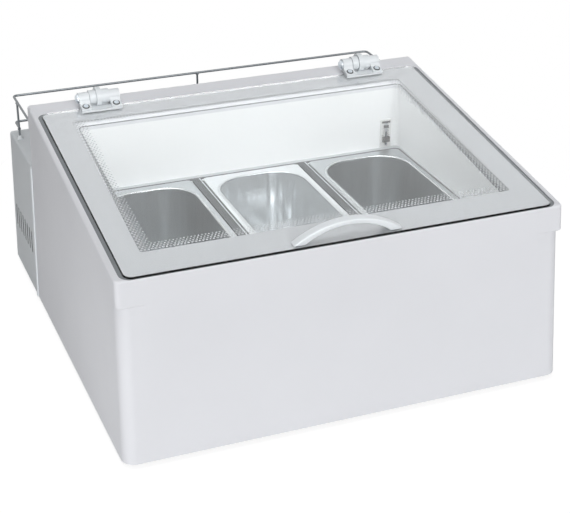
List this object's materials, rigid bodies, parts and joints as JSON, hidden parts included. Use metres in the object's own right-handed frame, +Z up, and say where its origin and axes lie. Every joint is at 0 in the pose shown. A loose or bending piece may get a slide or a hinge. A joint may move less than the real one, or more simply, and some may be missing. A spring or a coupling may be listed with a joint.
{
  "type": "ice cream display case",
  "caption": "Counter-top ice cream display case: an insulated white tub with lift-out pans under a sloped hinged glass lid, and a lower refrigeration housing with a wire guard rail behind it.",
  "frame": {"origin": "under the middle of the object, on the counter that the feet stand on", "axes": "+Z up; -Y towards the server's side with the lid handle, +Y towards the rear housing; +X to the right when facing the front"},
  "size_m": [0.691, 0.708, 0.3766],
  "materials": {
    "white_shell": "moulded satin white plastic",
    "white_rim": "moulded satin white plastic",
    "white_liner": "vacuum formed white plastic",
    "white_fittings": "injection moulded white plastic",
    "white_paint": "white powder coat on sheet steel",
    "glass": "clear toughened glass with a printed light border",
    "gasket_rubber": "dark grey extruded strip",
    "black_rubber": "moulded black rubber",
    "stainless_steel": "drawn and satin brushed",
    "zinc_plate": "galvanised sheet",
    "bright_wire": "bright zinc plated wire",
    "screw_steel": "bright zinc plated steel",
    "foam": "cured polyurethane foam",
    "copper": "bare copper tube",
    "fin_metal": "thin pressed fins",
    "black_paint": "black enamel",
    "black_plastic": "moulded black plastic",
    "rocker_plastic": "moulded green plastic",
    "grey_plastic": "moulded grey plastic",
    "thermometer_card": "white plastic card",
    "thermometer_glass": "clear glass tube"
  },
  "bodies": {
    "case": {"base_plate": "zinc_plate", "capillary_tube": "copper", "chassis_tray": "zinc_plate", "compressor": "black_paint", "compressor_grommets": "black_rubber", "compressor_studs": "screw_steel", "condenser_bends": "copper", "condenser_core": "fin_metal", "discharge_pipe": "copper", "divider_bar_left": "stainless_steel", "divider_bar_right": "stainless_steel", "evaporator_coil": "copper", "fan_bracket": "zinc_plate", "fan_motor": "black_paint", "fan_shroud": "black_plastic", "filter_drier": "copper", "guard_rail": "bright_wire", "hinge_bracket_left": "white_fittings", "hinge_bracket_right": "white_fittings", "hinge_bracket_screws": "screw_steel", "inlet_pins": "screw_steel", "insulation_foam": "foam", "lid_gasket": "gasket_rubber", "liner_tub": "white_liner", "liquid_pipe": "copper", "outer_shell": "white_shell", "power_inlet": "black_plastic", "rear_housing": "white_paint", "rear_panel": "white_paint", "rear_panel_screws": "screw_steel", "relay_cover": "black_plastic", "rubber_feet": "black_rubber", "suction_pipe": "copper", "switch_body": "black_plastic", "terminal_box": "grey_plastic", "terminal_lid": "grey_plastic", "thermometer_plate": "thermometer_card", "thermometer_tube": "thermometer_glass", "thermostat_body": "grey_plastic", "thermostat_sensor": "copper", "top_rim": "white_rim"},
    "lid": {"lid_glass": "glass", "lid_handle": "white_fittings", "hinge_leaf_left": "white_fittings", "hinge_leaf_right": "white_fittings", "hinge_pin_left": "screw_steel", "hinge_pin_right": "screw_steel", "hinge_screws": "screw_steel"},
    "left_pan": {"pan_left": "stainless_steel"},
    "centre_pan": {"pan_centre": "stainless_steel"},
    "right_pan": {"pan_right": "stainless_steel"},
    "fan": {"fan_blade": "black_plastic"},
    "knob": {"thermostat_knob": "black_plastic"},
    "rocker": {"switch_rocker": "rocker_plastic"}
  },
  "joints": [
    {"name": "lid_hinge", "type": "hinge", "parent": "case", "child": "lid", "pos_m": [0, 0.15143, 0.36121], "axis": [-1, 0, 0], "range_deg": [0, 105]},
    {"name": "pan_left_lift", "type": "slide", "parent": "case", "child": "left_pan", "axis": [0, 0, 1], "range_m": [0, 0.05]},
    {"name": "pan_centre_lift", "type": "slide", "parent": "case", "child": "centre_pan", "axis": [0, 0, 1], "range_m": [0, 0.05]},
    {"name": "pan_right_lift", "type": "slide", "parent": "case", "child": "right_pan", "axis": [0, 0, 1], "range_m": [0, 0.05]},
    {"name": "fan_spin", "type": "hinge", "parent": "case", "child": "fan", "pos_m": [0.205, 0.261, 0.092], "axis": [1, 0, 0], "continuous": true},
    {"name": "knob_turn", "type": "hinge", "parent": "case", "child": "knob", "pos_m": [0.06, 0.342, 0.158], "axis": [0, 1, 0], "range_deg": [0, 270]},
    {"name": "rocker_press", "type": "hinge", "parent": "case", "child": "rocker", "pos_m": [0, 0.34, 0.158], "axis": [1, 0, 0], "range_deg": [0, 16]}
  ]
}
